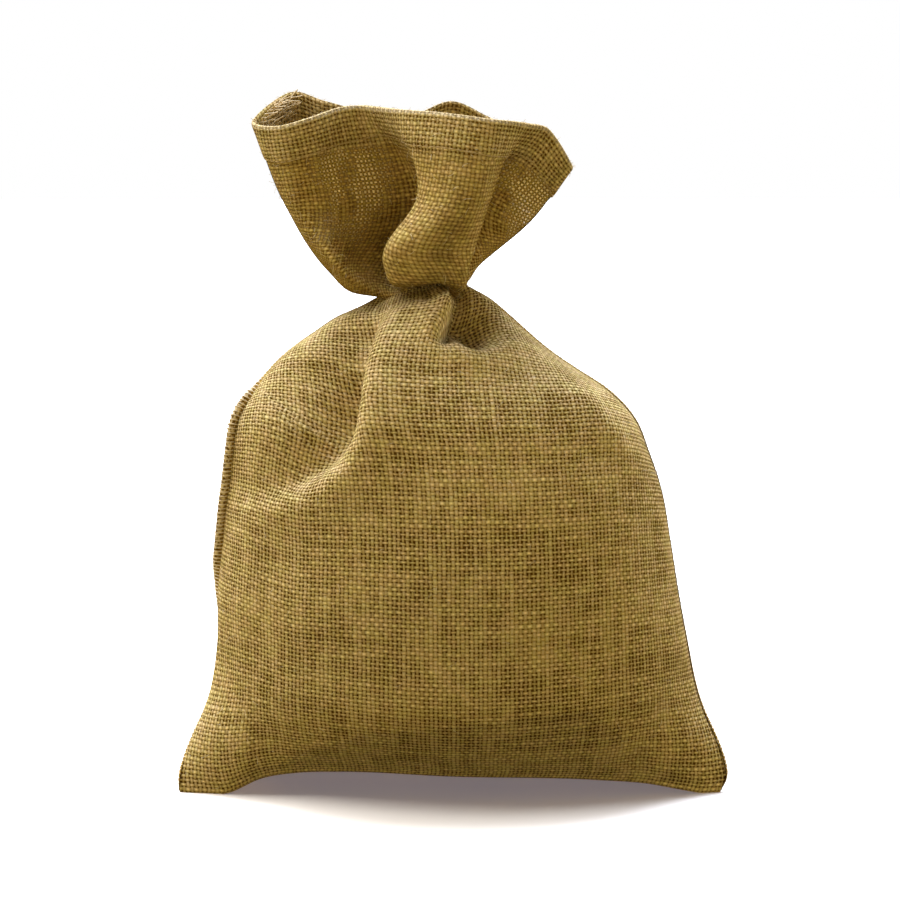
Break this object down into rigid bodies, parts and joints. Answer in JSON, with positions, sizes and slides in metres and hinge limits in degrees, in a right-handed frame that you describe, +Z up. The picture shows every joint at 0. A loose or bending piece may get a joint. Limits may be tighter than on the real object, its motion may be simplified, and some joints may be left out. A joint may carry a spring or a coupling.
{
  "type": "filled hessian sack",
  "caption": "Small filled sack of plain-woven hessian, gathered at the neck, with an open hemmed ruff above it, standing on its base.",
  "frame": {"origin": "on the ground at the middle of the sack's width and depth", "axes": "+Z up the sack, -Y out of the side with the large pleat in its ruff, +X to the right seen from that side"},
  "size_m": [0.2748, 0.1516, 0.3484],
  "materials": {
    "hessian": "natural jute, open plain weave, matt"
  },
  "bodies": {
    "root": {"sack": "hessian"}
  },
  "joints": []
}
